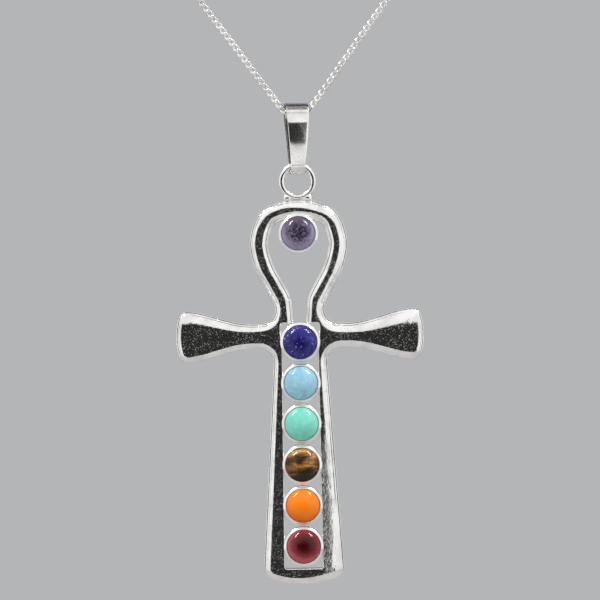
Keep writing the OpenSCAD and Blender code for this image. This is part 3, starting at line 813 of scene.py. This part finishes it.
def chain_line():
    """The chain's middle line: the bend in the bail, the straight strand, then a smooth curve round
    the neck to the clasp, and the same mirrored."""
    turn = math.pi / 2 - STRAND_LEAN
    a = np.linspace(0, turn, 19)[:, None]
    bend = HANG + CHAIN_BEND_R * np.hstack([np.sin(a), 0 * a, 1 - np.cos(a)])
    way = np.array([math.sin(STRAND_LEAN), 0, math.cos(STRAND_LEAN)])
    strand_end = bend[-1] + STRAND_L * way
    nape_end = NAPE + [EYE_X + EYE_OUTER_R + END_GAP, 0, 0]
    before_end = 0.8 * STRAND_L * way
    run = smooth(np.vstack([strand_end - before_end, strand_end, HANG + ROUTE_SHAPE * NECK_SIZE,
                            nape_end, 2 * NAPE - nape_end]), 24)
    half = np.vstack([bend, run])
    return np.vstack([half[:0:-1] * [-1, 1, 1], half])


def chain_links():
    """Each link is an oval loop of wire, twisted along its length, so that every link passes through
    the next: middle + T a cos t + (N cos f + B sin f) b sin t, where T runs along the chain, N and B
    stand across it, and f goes from -50 to 50 degrees with cos t. The end links pass round the wire
    of the clasp's eyes."""
    wire_r, pitch_wanted, past_end, twist = 0.24, 1.29, 0.05, math.radians(50)
    line = chain_line()
    s = np.concatenate([[0], np.cumsum(np.linalg.norm(np.diff(line, axis=0), axis=1))])
    count = round((s[-1] + 2 * past_end) / pitch_wanted) + 1
    at = np.linspace(-past_end, s[-1] + past_end, count)
    pitch = at[1] - at[0]

    def follow(where):
        """Points on the line by length, carried on straight past its two ends."""
        inside = np.stack([np.interp(where, s, line[:, k]) for k in range(3)], -1)
        before, after = np.minimum(where, 0)[:, None], np.maximum(where - s[-1], 0)[:, None]
        return inside + before * unit(line[1] - line[0]) + after * unit(line[-1] - line[-2])

    middle = follow(at)
    along = unit(follow(at + pitch / 2) - follow(at - pitch / 2))
    out = unit(middle * [1, 1, 0])
    side = unit(np.cross(along, out))
    up = np.cross(side, along)
    a, b = pitch / 2 + wire_r, CHAIN_W / 2 - wire_r
    t = circle(16)[None, :, None]
    f = twist * np.cos(t)
    side, up, along, middle = (v[:, None] for v in (side, up, along, middle))
    flat = side * np.cos(f) + up * np.sin(f)
    path = middle + along * a * np.cos(t) + flat * b * np.sin(t)
    tangent = unit(np.roll(path, -1, axis=1) - np.roll(path, 1, axis=1))
    away = unit(np.cross(tangent, -side * np.sin(f) + up * np.cos(f)))
    over = np.cross(away, tangent)
    g = circle(6)[None, None, :, None]
    grid = path[:, :, None] + wire_r * (away[:, :, None] * np.cos(g) + over[:, :, None] * np.sin(g))
    return [(link, True, True) for link in grid]


def clasp_parts():
    """A closed barrel turned about X, swollen at its middle and grooved beside it, and its two eyes.
    The profile is given from one end to the middle, as shares of the barrel's length and radius."""
    half = np.array([
        (-0.5, 0), (-0.5, 0.62), (-0.47, 0.8), (-0.4, 0.9), (-0.3, 0.97), (-0.14, 1), (-0.12, 0.98),
        (-0.11, 0.9), (-0.1, 0.9), (-0.09, 0.98), (-0.07, 1)])
    profile = np.vstack([half, half[::-1] * [-1, 1]])
    a = circle(36)[:, None]
    x, r = profile[:, 0][None] * CLASP_L, profile[:, 1][None] * CLASP_R
    barrel = np.stack([x + 0 * a, r * np.cos(a), r * np.sin(a)], -1) + NAPE
    made = [(barrel, True, False)]
    wire_r = 0.25
    b = circle(36)
    out = np.stack([np.cos(b), np.sin(b), 0 * b], -1)
    up = np.tile([0.0, 0.0, 1.0], (len(b), 1))
    for side in (-1, 1):
        path = out * (EYE_OUTER_R - wire_r) + NAPE + [side * EYE_X, 0, 0]
        made.append((tube(path, wire_r, out, up), True, True))
    return made


# Camera, light and floor

def camera():
    """At the photograph's angle: face on and turned one degree about its own line of sight, with a
    lens for which the frame's 600 pixels span 109.1 mm at the pendant."""
    distance, frame_w, roll = 600.0, 109.1, math.radians(1.0)
    centre = np.array([0.1, -FRONT_D, -121.7])
    made = bpy.data.cameras.new("camera")
    made.sensor_width = 36
    made.lens = made.sensor_width * distance / frame_w
    made.clip_start, made.clip_end = 0.01, 20
    holder = bpy.data.objects.new("camera", made)
    bpy.context.scene.collection.objects.link(holder)
    holder.location = (centre - [0, distance, 0]) * MM
    holder.rotation_euler = Euler((math.radians(90), roll, 0), "XYZ")
    bpy.context.scene.camera = holder


def softbox(name, way, away, wide, tall, power):
    """A strip of soft light that faces the pendant's middle from one direction, with its distance and
    sides in millimetres."""
    light = bpy.data.lights.new(name, "AREA")
    light.shape = "RECTANGLE"
    light.size, light.size_y, light.energy = wide * MM, tall * MM, power
    target = np.array([0, -FRONT_D, -120.0])
    holder = bpy.data.objects.new(name, light)
    bpy.context.scene.collection.objects.link(holder)
    spot = target + away * unit(np.array(way, float))
    holder.location = spot * MM
    holder.rotation_euler = Vector((target - spot) * MM).to_track_quat("-Z", "Y").to_euler()


def surroundings():
    """A soft white tent round the pendant, with a dark gap in front and a dark band a little behind
    the pendant's sides, and dim straight behind it. The camera itself sees plain pale in its place."""
    world = bpy.data.worlds.new("tent")
    bpy.context.scene.world = world
    paint = Paint(world)
    x, y, z = paint.split(paint.node("TexCoord", {}, {}, "Generated"))

    def between(value, low, high):
        """1 from low to high, with soft ends."""
        soft = 0.025
        past_low = paint.spread(value, low - soft, low + soft)
        return past_low * (1 - paint.spread(value, high - soft, high + soft))

    gap = between(x, -0.58, 0.36) * between(z, -0.22, 0.20) * (1 - paint.spread(y, -0.3, -0.2))
    flag = paint.spread(y, 0.02, 0.14) * (1 - paint.spread(y, 0.45, 0.6))
    back = paint.spread(y, 0.84, 0.92)
    tent = paint.spread(z, -1.0, 0.6, 0.88, 1.0) * (1 - flag * 0.9) * (1 - gap * 0.975) * (1 - back * 0.8)
    seen = paint.node("LightPath", {}, {}, "Is Camera Ray")
    glow = paint.node("Background", {}, {"Color": (1, 1, 1, 1), "Strength": tent})
    plain = paint.node("Background", {}, {"Color": rgba(180, 181, 183), "Strength": 1.0})
    both = paint.node("MixShader", {}, {0: seen, 1: glow, 2: plain})
    paint.node("OutputWorld", {}, {"Surface": both})


def floor():
    """A wide round plate some way under the pendant, with a softly turned-up edge."""
    material = bpy.data.materials.new("floor_pale")
    paint = Paint(material)
    mottle = paint.noise(paint.place(), 0.02, 2.0)
    paint.finish(Base_Color=paint.blend(mottle, rgba(186, 186, 187), rgba(193, 193, 194)), Roughness=0.8)
    under = 260.0
    r = np.array([0, 150, 300, 420, 440, 446])
    h = np.array([0, 0, 0, 0, 0.8, 3.0]) - under
    a = circle(96)[:, None]
    grid = np.stack([r * np.cos(a), r * np.sin(a), h + 0 * a], -1)
    surface("floor", [(grid, True, False)], None, None, material)


camera()
surroundings()
softbox("softbox_left", (-0.55, -0.30, 0.80), 600, 50, 260, 1.5)
softbox("softbox_right", (0.55, -0.28, 0.80), 600, 46, 230, 1.25)
floor()

right_flange = (SLOT_HALF_FOOT + 1.0, HANG[2] - PIVOT_Z - LEG_L * 0.68)
# Over its upper fold the bail is painted darker, as shade
upper_fold = HANG[2] + 0.8
plate_silver = silver("silver_plate", 0.004, 0.02, 0.0065, rippled=right_flange)
fine_silver = silver("silver_fine", 0.002, 0.01, 0.001)
bail_silver = silver("silver_bail", 0.002, 0.01, 0.001, shaded_over=upper_fold)

surface("casting", [casting()], "ankh", "silver", plate_silver, ["ankh_frame"])
surface("bezels", [bezel(z) for z in STONE_Z], "ankh", "silver", fine_silver, ["ankh_frame"])
surface("hanging_ring", [ring(), *ring_feet()], "ankh", "silver", fine_silver, ["ankh_frame"])
for (kind, dress, glow), z in zip(STONES, STONE_Z):
    centre = on_ankh(np.array([0, BEZEL_FRONT, z]))
    finish = stone_paint("polished_" + kind, [float(c) for c in centre], dress, glow)
    surface("cabochon_" + kind, [cabochon(z)], "ankh", "stone_" + kind, finish, ["stone_" + kind])
surface("bail_strap", [strap()], "bail", "silver", bail_silver, ["bail"])
surface("chain_links", chain_links(), "necklace", "chain_silver", fine_silver, ["chain"])
surface("clasp_barrel", clasp_parts(), "necklace", "chain_silver", fine_silver, ["clasp"])

bpy.context.scene.view_settings.view_transform = "Standard"
